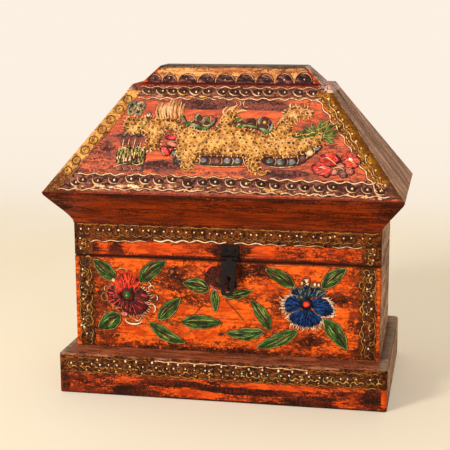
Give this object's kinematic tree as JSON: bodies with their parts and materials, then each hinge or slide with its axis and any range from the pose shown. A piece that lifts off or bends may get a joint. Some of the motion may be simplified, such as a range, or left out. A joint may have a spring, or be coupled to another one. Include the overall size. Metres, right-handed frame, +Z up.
{
  "type": "wooden box",
  "caption": "Painted wooden box on a plinth, with a hipped hinged lid on a cove cornice and a slotted iron hasp.",
  "frame": {"origin": "on the table under the middle of the plinth", "axes": "+X along the long side, -Y out of the front with the hasp, +Z up"},
  "size_m": [0.322, 0.18, 0.2962],
  "materials": {
    "body_paint": "distressed orange paint over dark wood, relief ornament",
    "neck_paint": "distressed orange and gold-brown paint",
    "cornice_paint": "dark brown streaked paint",
    "roof_paint": "distressed orange-red paint with gilded relief",
    "top_board_paint": "worn red-orange paint",
    "cap_paint": "gold-brown paint with dark scales",
    "plinth_paint": "distressed orange and brown paint",
    "bare_wood": "bare dark wood",
    "nail_iron": "dark forged iron",
    "hinge_iron": "dark forged iron",
    "hasp_iron": "blackened forged iron"
  },
  "bodies": {
    "box": {"plinth_front_rail": "plinth_paint", "body_front_board": "body_paint", "plinth_back_rail": "plinth_paint", "body_back_board": "body_paint", "plinth_left_rail": "plinth_paint", "body_left_board": "body_paint", "plinth_right_rail": "plinth_paint", "body_right_board": "body_paint", "bottom_board": "bare_wood", "body_corner_nails": "nail_iron", "plinth_nails": "nail_iron", "body_hinge_nails": "nail_iron", "body_hinge_leaf_left": "hinge_iron", "hinge_pin_left": "hinge_iron", "body_hinge_leaf_right": "hinge_iron", "hinge_pin_right": "hinge_iron", "staple": "hasp_iron"},
    "lid": {"neck_front_rail": "neck_paint", "neck_back_rail": "neck_paint", "neck_left_rail": "neck_paint", "neck_right_rail": "neck_paint", "cornice_front": "cornice_paint", "cornice_back": "cornice_paint", "cornice_left": "cornice_paint", "cornice_right": "cornice_paint", "roof_front_board": "roof_paint", "roof_back_board": "roof_paint", "roof_left_board": "roof_paint", "roof_right_board": "roof_paint", "roof_top_board": "top_board_paint", "cap_block": "cap_paint", "neck_corner_nails": "nail_iron", "cornice_nails": "nail_iron", "lid_hinge_leaf_left": "hinge_iron", "lid_hinge_leaf_right": "hinge_iron", "lid_hinge_nails": "nail_iron", "hasp_plate": "hasp_iron", "hasp_pin": "hasp_iron", "hasp_nails": "nail_iron"},
    "hasp": {"hasp_strap": "hasp_iron"}
  },
  "joints": [
    {"name": "lid_hinge", "type": "hinge", "parent": "box", "child": "lid", "pos_m": [0, 0.0664, 0.12415], "axis": [-1, 0, 0], "range_deg": [0, 150]},
    {"name": "hasp_swing", "type": "hinge", "parent": "lid", "child": "hasp", "pos_m": [0.0055, -0.0654, 0.127], "axis": [-1, 0, 0], "range_deg": [-20, 135]}
  ]
}
